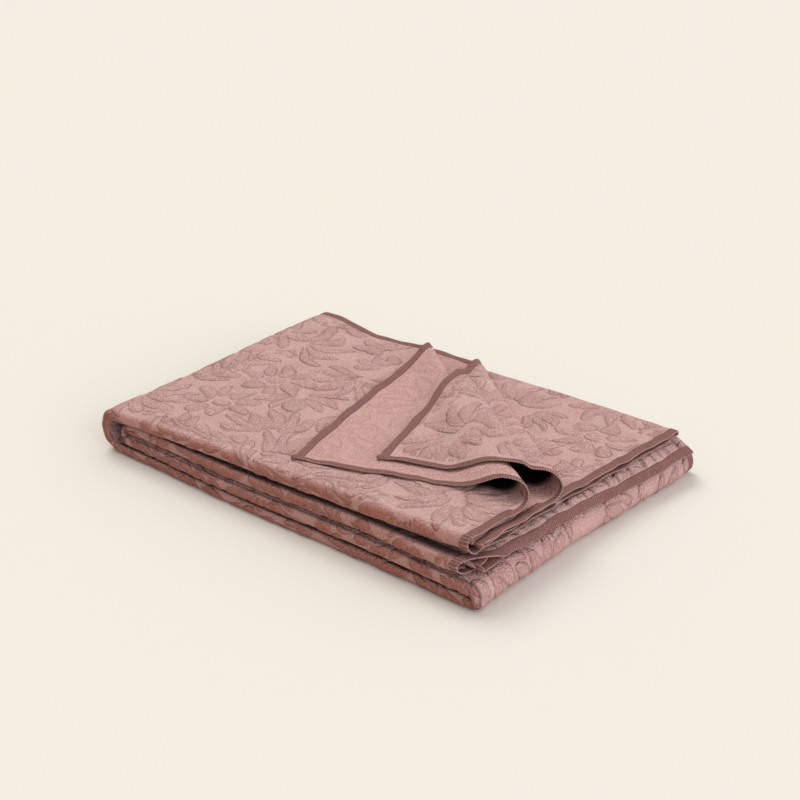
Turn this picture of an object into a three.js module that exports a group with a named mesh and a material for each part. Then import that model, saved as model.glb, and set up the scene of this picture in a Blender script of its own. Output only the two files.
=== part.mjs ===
import * as THREE from 'three';

// Folded throw: one woven terry cloth, 1800 by 1300 mm, hemmed by its own stitched edge.
// It is folded in quarters across its width, and that strip in quarters along its length, so
// sixteen layers lie on each other. Two corners of the top bundle are turned back.
// Millimetres, Z up, X along the long side, the width folds along the side at low Y.

// Cloth and folded stack
const clothThickness = 1.8;
const stackLength = 450;
const stackWidth = 325;
const layerCount = 16;
const lastStation = 7;
const bundlePlies = 4;
const tightPitch = 2.2;
const looseGrowth = 1.5;

// Height of the top layer over the floor at the four corners of the stack
const stackHeight = { lowXlowY: 43, highXlowY: 64, lowXhighY: 38.5, highXhighY: 50 };

// Soft swells and hollows of the stack, as a rise of the top layer
const swells = [
  { x: 110, y: 70, reach: 80, rise: 1.4 },
  { x: 250, y: 250, reach: 90, rise: -1.2 },
  { x: 330, y: 40, reach: 60, rise: 1.2 },
  { x: 60, y: 270, reach: 60, rise: 0.8 },
  { x: 400, y: 190, reach: 70, rise: -1.0 },
];

// Width folds, one row for each place along the cloth's length
// station: 0 first end, 1 to 2 outer wrap, 3 to 4 fold, 5 to 6 inner wrap, 7 last end
// front: how far the outer fold reaches, inset: how much the inner fold stands back
// back: where the far crease starts, hem1 and hem2: the two long edges
// bulge: depth of a fold for each layer that it goes round
const widthFolds = [
  { station: 0.0, front: 8.5, inset: 3, back: 310, hem1: 311, hem2: 296, bulge: 3.9 },
  { station: 0.3, front: 5.0, inset: 4, back: 311, hem1: 308, hem2: 306, bulge: 3.4 },
  { station: 0.65, front: 4.5, inset: 5, back: 307, hem1: 308, hem2: 313, bulge: 2.9 },
  { station: 0.82, front: 3.5, inset: 5, back: 302, hem1: 299, hem2: 303, bulge: 2.7 },
  { station: 1.0, front: 2.0, inset: 5, back: 309, hem1: 314, hem2: 310, bulge: 2.5 },
  { station: 2.0, front: 3.5, inset: 4, back: 316, hem1: 318, hem2: 315, bulge: 2.4 },
  { station: 2.4, front: 0.5, inset: 5, back: 319, hem1: 314, hem2: 318, bulge: 2.7 },
  { station: 2.75, front: 2.5, inset: 3, back: 316, hem1: 320, hem2: 314, bulge: 3.0 },
  { station: 3.0, front: 2.0, inset: 4, back: 319, hem1: 318, hem2: 317, bulge: 3.2 },
  { station: 4.0, front: -0.5, inset: 6, back: 318, hem1: 321, hem2: 316, bulge: 3.5 },
  { station: 4.35, front: 2.0, inset: 4, back: 314, hem1: 316, hem2: 318, bulge: 3.2 },
  { station: 4.7, front: 0.0, inset: 5, back: 317, hem1: 320, hem2: 313, bulge: 2.8 },
  { station: 5.0, front: 4.0, inset: 6, back: 313, hem1: 317, hem2: 314, bulge: 2.5 },
  { station: 6.0, front: 7.0, inset: 6, back: 310, hem1: 313, hem2: 315, bulge: 2.5 },
  { station: 6.35, front: 2.0, inset: 5, back: 314, hem1: 319, hem2: 312, bulge: 2.9 },
  { station: 6.7, front: 3.5, inset: 6, back: 311, hem1: 314, hem2: 317, bulge: 3.4 },
  { station: 7.0, front: -0.5, inset: 8, back: 313, hem1: 317, hem2: 312, bulge: 4.0 },
];

// Length folds, by the station across the quarter-width strip. The odd legs are its width folds.
// hem1: the end that lies on top, hem2: the end of the bundle below it
const lengthFolds = [
  { across: 0.0, hem1: 438, hem2: 424 },
  { across: 0.5, hem1: 438, hem2: 436 },
  { across: 1.5, hem1: 431, hem2: 428 },
  { across: 2.0, hem1: 436, hem2: 433 },
  { across: 2.12, hem1: 439, hem2: 450 },
  { across: 2.3, hem1: 439, hem2: 453 },
  { across: 2.75, hem1: 440, hem2: 456 },
  { across: 3.0, hem1: 440, hem2: 457 },
  { across: 4.0, hem1: 440, hem2: 452 },
  { across: 4.2, hem1: 439, hem2: 436 },
  { across: 4.88, hem1: 439, hem2: 432 },
  { across: 5.0, hem1: 440, hem2: 441 },
  { across: 5.5, hem1: 441, hem2: 446 },
  { across: 6.0, hem1: 442, hem2: 446 },
  { across: 6.25, hem1: 444, hem2: 435 },
  { across: 6.75, hem1: 444, hem2: 434 },
  { across: 7.0, hem1: 444, hem2: 425 },
];
const outerWrap = { start: 20, bulge: 2.85, lean: 6 };
const innerWrap = { start: 30, bulge: 2.7 };
const endFold = { start: 439, bulge: 2.9, spread: 7 };

// The second bundle's top sheet is its longest at that end and droops over the others' hems.
// Along Y the droop starts at from and is whole at full, and between easesFrom and easesTo its
// angle gets less by the share easedBy.
const endDroop = {
  level: 11.5,
  start: 438,
  radius: 8,
  leastRadius: 1,
  mostAngle: 1.15,
  from: 15,
  full: 60,
  easesFrom: 200,
  easesTo: 300,
  easedBy: 0.55,
};

// Folds round two or more layers are squarer than a half circle, and the tightest stay round.
// The outer width fold starts as many bulges behind its front as it has layers to go round.
const foldSquareness = 0.86;
const tightFold = { mostBulge: 2.75, share: 0.92 };
const outerFoldReach = 1.5;

// Slow waves of the two folded ends, seen from above
const lowXWaves = [
  { height: 2.2, length: 390, shift: 0.6 },
  { height: 1.0, length: 283, shift: -1.57 },
];
const highXWaves = [{ height: 1.8, length: 302, shift: 2.1 }];

// Corners turned back: where the crease leaves the long edge and the end, where the corner
// would lie unturned, and the loop's radius at each end of the crease
const turnedCorners = [
  { sheet: 'top', crease: { back: 141, side: 70 }, corner: { x: 446, y: 321 },
    loop: { back: 4.6, side: 10.5 } },
  { sheet: 'second', crease: { back: 197, side: 104 }, corner: { x: 463, y: 308 },
    loop: { back: 5.2, side: 12.5 } },
];

// A turned corner's hem bows out between its ends. Its loop is wider than high, and behind the
// loop it settles over some radii to rest on the sheet below. The second corner covers the first
// with a gap, and its skirt runs down beyond the first one's loop.
const hemBow = 6;
const loopSpread = 1.35;
const settleReach = 4.6;
const restingGap = 3.0;
const coverGap = 3.4;
const coverSkirt = 26;
const coverBlend = 3;

// Mesh stations. On a run or a sheet they are shares of its length, one row for each sheet of
// the strip, and elsewhere millimetres from an end or a crease.
const endRunSteps = [0, 5, 11, 18, 27, 40, 60, 82, 108, 136, 164, 190, 207];
const creaseEndSteps = [21, 13, 8, 4, 0];
const beyondCreaseSteps = [0.3, 0.58, 0.8, 0.93];
const runSteps = [0, 0.17, 0.35, 0.52, 0.7, 0.86];
const sheetSteps = [
  [0, 0.25, 0.5, 0.75],
  [0, 0.12, 0.3, 0.55, 0.8],
  [0, 0.2, 0.45, 0.7, 0.88],
  [0, 0.25, 0.5, 0.75],
];
const turnSegments = { outerWrap: 8, endFold: 6, innerWrap: 5, outerFold: 8, tightFold: 4 };
const loopSegments = 8;
const settleSegments = 6;
const restSegments = 8;
const restStep = 20;
const coverSteps = [-30, -22, -13, -5, 3, 11, 19, 27, 36, 46, 57, 70, 90, 115, 140, 165];
const lastEndSteps = [34, 24, 18, 13, 9, 5];
const leastRun = 2.2;
const firstCoverStep = 4;
const hemMark = 0.9;
const clearOfCrease = 0.06;
const slopeStep = 1e-4;

const lerp = THREE.MathUtils.lerp;
const clamp = THREE.MathUtils.clamp;
const squared = (value, power) => Math.sign(value) * Math.abs(value) ** power;
const easeInOut = (t) => 0.5 - 0.5 * Math.cos(Math.PI * clamp(t, 0, 1));

// Value of one column of a table at a place between its rows
function readTable(rows, placeName, place, column) {
  const last = rows.length - 1;
  let i = 0;
  while (i < last - 1 && place > rows[i + 1][placeName]) i += 1;
  const from = rows[i];
  const to = rows[i + 1];
  const t = (place - from[placeName]) / (to[placeName] - from[placeName]);
  return lerp(from[column], to[column], easeInOut(t));
}

// Height of the middle of the cloth at a level, where level 0.5 lies on the floor
function heightAt(level, x, y) {
  const u = clamp(x / stackLength, 0, 1);
  const v = clamp(y / stackWidth, 0, 1);
  const lowY = lerp(stackHeight.lowXlowY, stackHeight.highXlowY, u);
  const highY = lerp(stackHeight.lowXhighY, stackHeight.highXhighY, u);
  let top = lerp(lowY, highY, v);
  for (const swell of swells) {
    const away = ((x - swell.x) ** 2 + (y - swell.y) ** 2) / swell.reach ** 2;
    top += swell.rise * Math.exp(-away);
  }
  const share = (level - 0.5) / (layerCount - 1);
  const tight = tightPitch * (layerCount - 1);
  const loose = top - clothThickness - tight;
  return clothThickness / 2 + tight * share + loose * Math.pow(Math.max(share, 0), looseGrowth);
}

// A fold in quarters. The station runs 0 to 7 through four flat runs and the turns between them.
// inside is the distance from the outer face within one ply, and depth is counted from the top.
function quarterFold(station, inside, ply, lines) {
  const leg = Math.min(Math.floor(station), 6);
  const t = station - leg;
  const run = (from, to, depth) => ({ along: lerp(from, to, t), depth });
  const turn = (start, reach, middle, half, way) => {
    const power = half > 1 ? foldSquareness : 1;
    const angle = Math.PI * t;
    return {
      along: start + reach * squared(Math.sin(angle), power),
      depth: middle + way * half * squared(Math.cos(angle), power),
    };
  };
  const outerHalf = 2 * ply - inside;
  const endHalf = ply - inside;
  switch (leg) {
    case 0: return run(lines.hem1, lines.outer, inside);
    case 1: return turn(lines.outer, -lines.outerBulge * outerHalf, 2 * ply, outerHalf, -1);
    case 2: return run(lines.outer, lines.end, 4 * ply - inside);
    case 3: return turn(lines.end, lines.endBulge * endHalf, 3 * ply, endHalf, 1);
    case 4: return run(lines.end, lines.inner, 2 * ply + inside);
    case 5: return turn(lines.inner, -lines.innerBulge * inside, 2 * ply, inside, 1);
    default: return run(lines.inner, lines.hem2, 2 * ply - inside);
  }
}

function widthLines(station) {
  const value = (column) => readTable(widthFolds, 'station', station, column);
  const bulge = value('bulge');
  const outer = value('front') + outerFoldReach * bulge;
  const tightBulge = Math.min(bulge * tightFold.share, tightFold.mostBulge);
  return {
    hem1: value('hem1'),
    outer,
    outerBulge: bulge,
    end: value('back'),
    endBulge: tightBulge,
    inner: outer + value('inset'),
    innerBulge: tightBulge,
    hem2: value('hem2'),
  };
}

function lengthLines(across) {
  return {
    hem1: readTable(lengthFolds, 'across', across, 'hem1'),
    outer: outerWrap.start,
    outerBulge: outerWrap.bulge,
    end: endFold.start,
    endBulge: endFold.bulge,
    inner: innerWrap.start,
    innerBulge: innerWrap.bulge,
    hem2: readTable(lengthFolds, 'across', across, 'hem2'),
  };
}

// The two folded ends of the stack aren't quite straight. The outer wrap leans out on top, and
// the lower layers of the other end spread out towards high Y.
function endWaver(x, y, level) {
  const share = clamp(x / stackLength, 0, 1);
  const low = 1 - level / layerCount;
  const waved = (waves) => waves.reduce(
    (sum, wave) => sum + wave.height * Math.sin(2 * Math.PI * y / wave.length + wave.shift),
    0,
  );
  const lean = outerWrap.lean * (1 - share) ** 4 * (1 - low) ** 2;
  const spread = endFold.spread * share ** 2 * low * clamp(y / stackWidth, 0, 1) ** 2;
  return lerp(waved(lowXWaves), waved(highXWaves), share) - lean + spread;
}

// The droop bends the sheets about one line, so an inner one turns on a smaller radius
function drooped(x, y, level) {
  const height = heightAt(level, x, y);
  const run = Math.max(x - endDroop.start, 0);
  const under = heightAt(endDroop.level, x, y) - height;
  const radius = Math.max(endDroop.radius - under, endDroop.leastRadius);
  const rising = easeInOut((y - endDroop.from) / (endDroop.full - endDroop.from));
  const easing = easeInOut((y - endDroop.easesFrom) / (endDroop.easesTo - endDroop.easesFrom));
  const mostAngle = endDroop.mostAngle * rising * (1 - endDroop.easedBy * easing);
  const angle = Math.min(run / radius, mostAngle);
  const rest = run - radius * angle;
  return {
    x: x - run + radius * Math.sin(angle) + rest * Math.cos(angle),
    z: height - radius * (1 - Math.cos(angle)) - rest * Math.sin(angle),
  };
}

// Middle surface of the cloth, from a station along its length and one across its width
function clothPoint(along, across) {
  const strip = quarterFold(across, 0.5, 1, widthLines(along));
  const stack = quarterFold(along, strip.depth, bundlePlies, lengthLines(across));
  const y = strip.along;
  const level = layerCount - stack.depth;
  const x = stack.along + endWaver(stack.along, y, level);
  if (along <= 6) return new THREE.Vector3(x, y, heightAt(level, x, y));
  const place = drooped(x, y, level);
  return new THREE.Vector3(place.x, y, place.z);
}

// Normal of a surface from small steps along its two parameters
function normalOf(pointAt, a, b, side) {
  const alongA = pointAt(a + slopeStep, b).sub(pointAt(a - slopeStep, b));
  const alongB = pointAt(a, b + slopeStep).sub(pointAt(a, b - slopeStep));
  return alongA.cross(alongB).normalize().multiplyScalar(side);
}

function clothNormal(along, across) {
  const insideEnds = (value) => clamp(value, 2 * slopeStep, lastStation - 2 * slopeStep);
  return normalOf(clothPoint, insideEnds(along), insideEnds(across), 1);
}

// The crease of a turned corner runs straight in stations, from the long edge to the end
function makeCrease(corner) {
  const onTop = corner.sheet === 'top';
  const lines = lengthLines(onTop ? 0 : lastStation);
  const edgeStation = (lines.hem1 - corner.crease.back) / (lines.hem1 - lines.outer);
  const sideLines = widthLines(0);
  const sideStation = onTop
    ? (sideLines.hem1 - corner.crease.side) / (sideLines.hem1 - sideLines.outer)
    : lastStation - (sideLines.hem2 - corner.crease.side) / (sideLines.hem2 - sideLines.inner);
  const hem = onTop ? 0 : lastStation;
  return {
    ...corner,
    onTop,
    level: onTop ? layerCount - 0.5 : layerCount - 1.5,
    edgeStation,
    acrossAt: (along) => lerp(sideStation, hem, along / edgeStation),
  };
}

// Straight frame of a crease on the plan: distance along it, and inwards over the stack
function creaseFrame(crease) {
  const back = clothPoint(crease.edgeStation, crease.acrossAt(crease.edgeStation));
  const side = clothPoint(0, crease.acrossAt(0));
  const line = new THREE.Vector2(side.x - back.x, side.y - back.y);
  const length = line.length();
  line.divideScalar(length);
  const inward = new THREE.Vector2(line.y, -line.x);
  const corner = new THREE.Vector2(crease.corner.x - back.x, crease.corner.y - back.y);
  const footShare = corner.dot(line) / length;
  const cornerReach = -corner.dot(inward);
  return { back, length, line, inward, footShare, cornerReach };
}

const loopRadius = (crease, share) => lerp(crease.loop.back, crease.loop.side, clamp(share, 0, 1));

// Length of the loop's half ellipse
function loopLength(radius) {
  return Math.PI * radius * Math.sqrt((1 + loopSpread ** 2) / 2);
}

// Side view of a turned corner: distance inwards from the loop's nose, and height over its sheet
function loopProfile(run, radius) {
  const wide = radius * loopSpread;
  const arc = loopLength(radius);
  if (run <= arc) {
    const angle = Math.PI * run / arc;
    return { inward: wide * (1 - Math.sin(angle)), height: radius * (1 - Math.cos(angle)) };
  }
  const past = run - arc;
  const settled = easeInOut(past / (settleReach * radius));
  return { inward: wide + past, height: lerp(2 * radius, restingGap, settled) };
}

// Height of a turned corner's upper side over its sheet, seen on the plan
function coverHeight(crease, frame, x, y) {
  const fromBack = new THREE.Vector2(x - frame.back.x, y - frame.back.y);
  const share = fromBack.dot(frame.line) / frame.length;
  const radius = loopRadius(crease, share);
  const wide = radius * loopSpread;
  const inward = fromBack.dot(frame.inward) + wide;
  if (inward >= wide) return loopProfile(loopLength(radius) + inward - wide, radius).height;
  return 2 * radius * (1 - easeInOut((-inward - restingGap) / coverSkirt));
}

function smoothMax(a, b, blend) {
  const h = clamp(0.5 + 0.5 * (a - b) / blend, 0, 1);
  return lerp(b, a, h) + blend * h * (1 - h);
}

const creases = turnedCorners.map(makeCrease);
const frames = creases.map(creaseFrame);

// Middle surface of a turned corner, from the place along its crease and the run from it
function turnedPoint(index, along, run) {
  const crease = creases[index];
  const frame = frames[index];
  const root = clothPoint(along, crease.acrossAt(along));
  const fromBack = new THREE.Vector2(root.x - frame.back.x, root.y - frame.back.y);
  const share = fromBack.dot(frame.line) / frame.length;
  const radius = loopRadius(crease, share);
  const profile = loopProfile(run, radius);
  const inward = profile.inward - radius * loopSpread;
  const x = root.x + frame.inward.x * inward;
  const y = root.y + frame.inward.y * inward;
  const sheet = heightAt(crease.level, x, y);
  let height = profile.height;
  if (index === 1 && run > 0.5 * loopLength(radius)) {
    const topSheet = heightAt(creases[0].level, x, y) - sheet;
    const cover = topSheet + coverHeight(creases[0], frames[0], x, y) + coverGap;
    const over = clamp(run / loopLength(radius) * 2 - 1, 0, 1);
    height = lerp(height, smoothMax(height, cover, coverBlend), easeInOut(over));
  }
  return new THREE.Vector3(x, y, sheet + height);
}

// How far the cloth goes past the crease, at a place along it
function runToHem(index, along) {
  const crease = creases[index];
  const frame = frames[index];
  const root = clothPoint(along, crease.acrossAt(along));
  const fromBack = new THREE.Vector2(root.x - frame.back.x, root.y - frame.back.y);
  const share = clamp(fromBack.dot(frame.line) / frame.length, 0, 1);
  const slope = Math.min(share / frame.footShare, (1 - share) / (1 - frame.footShare));
  return frame.cornerReach * slope + hemBow * Math.sin(Math.PI * slope);
}

// Sheet of middle points and normals, joined into triangles strip by strip
class Sheet {
  constructor() {
    this.points = [];
    this.normals = [];
    this.triangles = [];
  }

  add(point, normal) {
    this.points.push(point);
    this.normals.push(normal);
    return this.points.length - 1;
  }

  face(a, b, c) {
    const [p, q, r] = [a, b, c].map((i) => this.points[i]);
    const turned = q.clone().sub(p).cross(r.clone().sub(p));
    const mean = this.normals[a].clone().add(this.normals[b]).add(this.normals[c]);
    this.triangles.push(turned.dot(mean) > 0 ? [a, b, c] : [a, c, b]);
  }

  // Joins two rows of nodes, each a list of { id, at } with at rising
  zip(rowA, rowB) {
    let i = 0;
    let j = 0;
    while (i < rowA.length - 1 || j < rowB.length - 1) {
      const nextA = i < rowA.length - 1 ? rowA[i + 1].at : Infinity;
      const nextB = j < rowB.length - 1 ? rowB[j + 1].at : Infinity;
      if (nextA <= nextB) {
        this.face(rowA[i].id, rowA[i + 1].id, rowB[j].id);
        i += 1;
      } else {
        this.face(rowA[i].id, rowB[j + 1].id, rowB[j].id);
        j += 1;
      }
    }
  }

  // Closed solid of the given thickness about the middle sheet
  thicken(thickness) {
    const count = this.points.length;
    const positions = [];
    for (const side of [0.5, -0.5]) {
      this.points.forEach((point, i) => {
        const moved = point.clone().addScaledVector(this.normals[i], side * thickness);
        positions.push(moved.x, moved.y, Math.max(moved.z, 0));
      });
    }
    const faces = [];
    const edges = new Map();
    for (const [a, b, c] of this.triangles) {
      faces.push(a, b, c, a + count, c + count, b + count);
      for (const [from, to] of [[a, b], [b, c], [c, a]]) {
        const back = `${to},${from}`;
        if (edges.has(back)) edges.delete(back);
        else edges.set(`${from},${to}`, [from, to]);
      }
    }
    for (const [from, to] of edges.values()) {
      faces.push(to, from, from + count, to, from + count, to + count);
    }
    const geometry = new THREE.BufferGeometry();
    geometry.setAttribute('position', new THREE.Float32BufferAttribute(positions, 3));
    geometry.setIndex(faces);
    return geometry;
  }
}

// Stations along the length: the finer steps near the ends carry the turned corners
function lengthStations() {
  const lines = lengthLines(0);
  const firstRun = lines.hem1 - lines.outer;
  const [first, second] = creases.map((crease) => crease.edgeStation);
  const stations = endRunSteps.map((step) => step / firstRun);
  for (const step of creaseEndSteps) stations.push(second - step / firstRun);
  for (const step of creaseEndSteps) stations.push(first - step / firstRun);
  for (const step of beyondCreaseSteps) stations.push(lerp(first, 1, step));
  const addTurn = (start, segments) => {
    for (let i = 0; i < segments; i += 1) stations.push(start + i / segments);
  };
  addTurn(1, turnSegments.outerWrap);
  for (const step of runSteps) stations.push(2 + step);
  addTurn(3, turnSegments.endFold);
  for (const step of runSteps) stations.push(4 + step);
  addTurn(5, turnSegments.innerWrap);
  for (const step of runSteps) stations.push(6 + step);
  for (const step of lastEndSteps) stations.push(lastStation - step / firstRun);
  stations.push(lastStation);
  return stations;
}

function widthStations() {
  const stations = [];
  const segments = [turnSegments.outerFold, turnSegments.tightFold, turnSegments.tightFold];
  for (let sheet = 0; sheet < 4; sheet += 1) {
    for (const step of sheetSteps[sheet]) stations.push(2 * sheet + step);
    const turn = sheet < 3 ? segments[sheet] : 0;
    for (let i = 0; i < turn; i += 1) stations.push(2 * sheet + 1 + i / turn);
  }
  stations.push(lastStation);
  return stations;
}

// One row of nodes across the cloth, cut short where a corner is turned back
function clothRow(sheet, along, acrossStations) {
  let from = 0;
  let to = lastStation;
  if (along < creases[0].edgeStation) from = creases[0].acrossAt(along);
  if (along < creases[1].edgeStation) to = creases[1].acrossAt(along);
  const inner = acrossStations.filter(
    (across) => across > from + clearOfCrease && across < to - clearOfCrease,
  );
  return [from, ...inner, to].map((across) => (
    { id: sheet.add(clothPoint(along, across), clothNormal(along, across)), at: across }
  ));
}

// Distance of a point from the first turned corner's crease, inwards over the stack
function inwardOfFirst(point) {
  const frame = frames[0];
  const fromBack = new THREE.Vector2(point.x - frame.back.x, point.y - frame.back.y);
  return fromBack.dot(frame.inward);
}

// Nodes of one row of a turned corner: round its loop, down the slope behind it, then flat.
// The second corner's nodes follow the first one's loop, which it lies over.
function turnedMarks(index, start, radius) {
  const arc = loopLength(radius);
  const settle = settleReach * radius;
  const marks = [];
  for (let i = 1; i <= loopSegments; i += 1) marks.push({ at: i, run: arc * i / loopSegments });
  if (index === 1) {
    const beyond = inwardOfFirst(start);
    coverSteps.forEach((inward, i) => {
      const run = arc + inward - beyond;
      if (run > arc + firstCoverStep) marks.push({ at: loopSegments + 1 + i, run });
    });
    return marks;
  }
  for (let i = 1; i <= settleSegments; i += 1) {
    marks.push({ at: loopSegments + i, run: arc + settle * i / settleSegments });
  }
  for (let i = 1; i <= restSegments; i += 1) {
    marks.push({ at: loopSegments + settleSegments + i, run: arc + settle + restStep * i });
  }
  return marks;
}

// Rows of a turned corner start at the nodes of its crease
function addTurnedCorner(sheet, index, roots) {
  const side = creases[index].onTop ? -1 : 1;
  const frame = frames[index];
  let previous = null;
  for (const root of roots) {
    const start = sheet.points[root.id];
    const share = start.clone().setZ(0).distanceTo(frame.back.clone().setZ(0)) / frame.length;
    const radius = loopRadius(creases[index], share);
    const hemRun = runToHem(index, root.along);
    const row = [{ id: root.id, at: 0 }];
    let last = row[0];
    for (const mark of turnedMarks(index, start, radius)) {
      if (mark.run > hemRun - leastRun) break;
      row.push({ id: addTurnedNode(sheet, index, root.along, mark.run, side), at: mark.at });
      last = mark;
    }
    if (hemRun > 1) {
      const id = addTurnedNode(sheet, index, root.along, hemRun, side);
      row.push({ id, at: last.at + hemMark });
    }
    if (previous) sheet.zip(previous, row);
    previous = row;
  }
}

function addTurnedNode(sheet, index, along, run, side) {
  const pointAt = (a, b) => turnedPoint(index, a, b);
  const inside = Math.max(along, 2 * slopeStep);
  return sheet.add(pointAt(along, run), normalOf(pointAt, inside, run, side));
}

function makeCloth() {
  const sheet = new Sheet();
  const acrossStations = widthStations();
  const roots = [[], []];
  let previous = null;
  for (const along of lengthStations()) {
    const row = clothRow(sheet, along, acrossStations);
    if (along <= creases[0].edgeStation) roots[0].push({ ...row[0], along });
    if (along <= creases[1].edgeStation) roots[1].push({ ...row[row.length - 1], along });
    if (previous) sheet.zip(previous, row);
    previous = row;
  }
  addTurnedCorner(sheet, 0, roots[0]);
  addTurnedCorner(sheet, 1, roots[1]);
  return sheet.thicken(clothThickness);
}

const clothGeometry = makeCloth();
clothGeometry.computeBoundingBox();
const centre = clothGeometry.boundingBox.getCenter(new THREE.Vector3());
clothGeometry.translate(-centre.x, -centre.y, 0);

const cloth = new THREE.Mesh(
  clothGeometry,
  new THREE.MeshStandardMaterial({ color: '#c39e95', roughness: 0.95, metalness: 0 }),
);
cloth.name = 'throw_cloth';

const foldedThrow = new THREE.Group();
foldedThrow.add(cloth);

export default foldedThrow;
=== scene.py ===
import math

import bmesh
import bpy
import numpy as np
from mathutils import Matrix, Vector


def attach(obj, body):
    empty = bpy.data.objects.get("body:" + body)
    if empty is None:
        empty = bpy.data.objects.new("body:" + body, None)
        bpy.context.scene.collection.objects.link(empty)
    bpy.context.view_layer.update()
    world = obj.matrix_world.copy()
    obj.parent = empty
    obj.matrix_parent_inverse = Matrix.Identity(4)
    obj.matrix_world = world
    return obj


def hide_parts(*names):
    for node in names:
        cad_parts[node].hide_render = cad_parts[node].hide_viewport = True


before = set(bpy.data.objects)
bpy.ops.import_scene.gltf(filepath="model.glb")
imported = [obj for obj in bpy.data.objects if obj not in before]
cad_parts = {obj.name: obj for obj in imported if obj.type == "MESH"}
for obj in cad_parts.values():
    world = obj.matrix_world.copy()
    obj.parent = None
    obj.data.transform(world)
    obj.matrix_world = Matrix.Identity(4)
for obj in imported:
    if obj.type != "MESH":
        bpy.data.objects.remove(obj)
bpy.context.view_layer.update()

# Folded stack: the throw is folded in quarters across its width, and that strip in quarters
# along its length. A station 0 to 7 runs through four flat sheets and the folds between them,
# both along the cloth and across it. Stack sizes are millimetres, as in the solid.
stack_length = 450
stack_width = 325
layers = 16
plies = 4
tight_pitch = 2.2
loose_growth = 1.5
solid_thickness = 1.8
top_height = {"low_x_low_y": 43, "high_x_low_y": 64, "low_x_high_y": 38.5, "high_x_high_y": 50}

# x, y, reach, rise
swells = [
    (110, 70, 80, 1.4),
    (250, 250, 90, -1.2),
    (330, 40, 60, 1.2),
    (60, 270, 60, 0.8),
    (400, 190, 70, -1.0),
]

# Soft creases and ridges pressed into the upper layers: x, y, turn, half length, half width, rise
soft_creases = [
    (150, 222, 18, 75, 8, -1.1),
    (92, 118, -32, 62, 7, 1.0),
    (62, 205, 72, 52, 9, -0.9),
    (30, 95, 84, 45, 8, 0.9),
    (398, 118, 14, 48, 7, -1.0),
    (372, 262, -22, 62, 9, 1.1),
    (242, 38, 6, 78, 6, -1.0),
    (120, 45, -8, 60, 6, 0.9),
    (335, 62, -18, 50, 7, 0.8),
    (420, 250, 60, 45, 9, -0.9),
]

# station along the cloth, front, inset, back, hem1, hem2, bulge
width_folds = np.array([
    (0.0, 8.5, 3, 310, 311, 296, 3.9),
    (0.3, 5.0, 4, 311, 308, 306, 3.4),
    (0.65, 4.5, 5, 307, 308, 313, 2.9),
    (0.82, 3.5, 5, 302, 299, 303, 2.7),
    (1.0, 2.0, 5, 309, 314, 310, 2.5),
    (2.0, 3.5, 4, 316, 318, 315, 2.4),
    (2.4, 0.5, 5, 319, 314, 318, 2.7),
    (2.75, 2.5, 3, 316, 320, 314, 3.0),
    (3.0, 2.0, 4, 319, 318, 317, 3.2),
    (4.0, -0.5, 6, 318, 321, 316, 3.5),
    (4.35, 2.0, 4, 314, 316, 318, 3.2),
    (4.7, 0.0, 5, 317, 320, 313, 2.8),
    (5.0, 4.0, 6, 313, 317, 314, 2.5),
    (6.0, 7.0, 6, 310, 313, 315, 2.5),
    (6.35, 2.0, 5, 314, 319, 312, 2.9),
    (6.7, 3.5, 6, 311, 314, 317, 3.4),
    (7.0, -0.5, 8, 313, 317, 312, 4.0),
])

# station across the cloth, hem that lies on top, hem of the bundle below it
length_folds = np.array([
    (0.0, 438, 424),
    (0.5, 438, 436),
    (1.5, 431, 428),
    (2.0, 436, 433),
    (2.12, 439, 450),
    (2.3, 439, 453),
    (2.75, 440, 456),
    (3.0, 440, 457),
    (4.0, 440, 452),
    (4.2, 439, 436),
    (4.88, 439, 432),
    (5.0, 440, 441),
    (5.5, 441, 446),
    (6.0, 442, 446),
    (6.25, 444, 435),
    (6.75, 444, 434),
    (7.0, 444, 425),
])
outer_wrap = {"start": 20, "bulge": 2.85, "lean": 6}
inner_wrap = {"start": 30, "bulge": 2.7}
end_fold = {"start": 439, "bulge": 2.9, "spread": 7}
droop = {"level": 11.5, "start": 438, "radius": 8, "least_radius": 1, "most_angle": 1.15}
droop_rises = (15, 60)
droop_eases = (200, 300)
droop_eased_by = 0.55
fold_squareness = 0.86

# How the stack's two ends wander across it: rise, wavelength, phase
low_end_waves = [(2.2, 390, 0.6), (1.0, 283, -1.57)]
high_end_waves = [(1.8, 302, 2.1)]


def lerp(a, b, t):
    return a + (b - a) * t


def eased(t):
    return 0.5 - 0.5 * np.cos(math.pi * np.clip(t, 0, 1))


def waves(run, table):
    angle = 2 * math.pi * run
    return sum(rise * np.sin(angle / length + phase) for rise, length, phase in table)


def read_table(table, place, column):
    row = np.clip(np.searchsorted(table[:, 0], place) - 1, 0, len(table) - 2)
    share = (place - table[row, 0]) / (table[row + 1, 0] - table[row, 0])
    return lerp(table[row, column], table[row + 1, column], eased(share))


def height_at(level, x, y):
    u = np.clip(x / stack_length, 0, 1)
    v = np.clip(y / stack_width, 0, 1)
    low_y = lerp(top_height["low_x_low_y"], top_height["high_x_low_y"], u)
    high_y = lerp(top_height["low_x_high_y"], top_height["high_x_high_y"], u)
    top = lerp(low_y, high_y, v)
    for swell_x, swell_y, reach, rise in swells:
        top = top + rise * np.exp(-((x - swell_x) ** 2 + (y - swell_y) ** 2) / reach**2)
    for crease_x, crease_y, turn, half_length, half_width, rise in soft_creases:
        c, s = math.cos(math.radians(turn)), math.sin(math.radians(turn))
        run = ((x - crease_x) * c + (y - crease_y) * s) / half_length
        aside = ((y - crease_y) * c - (x - crease_x) * s) / half_width
        top = top + rise * np.exp(-(run**2) - aside**2)
    share = (level - 0.5) / (layers - 1)
    tight = tight_pitch * (layers - 1)
    loose = top - solid_thickness - tight
    return solid_thickness / 2 + tight * share + loose * np.maximum(share, 0) ** loose_growth


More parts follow.
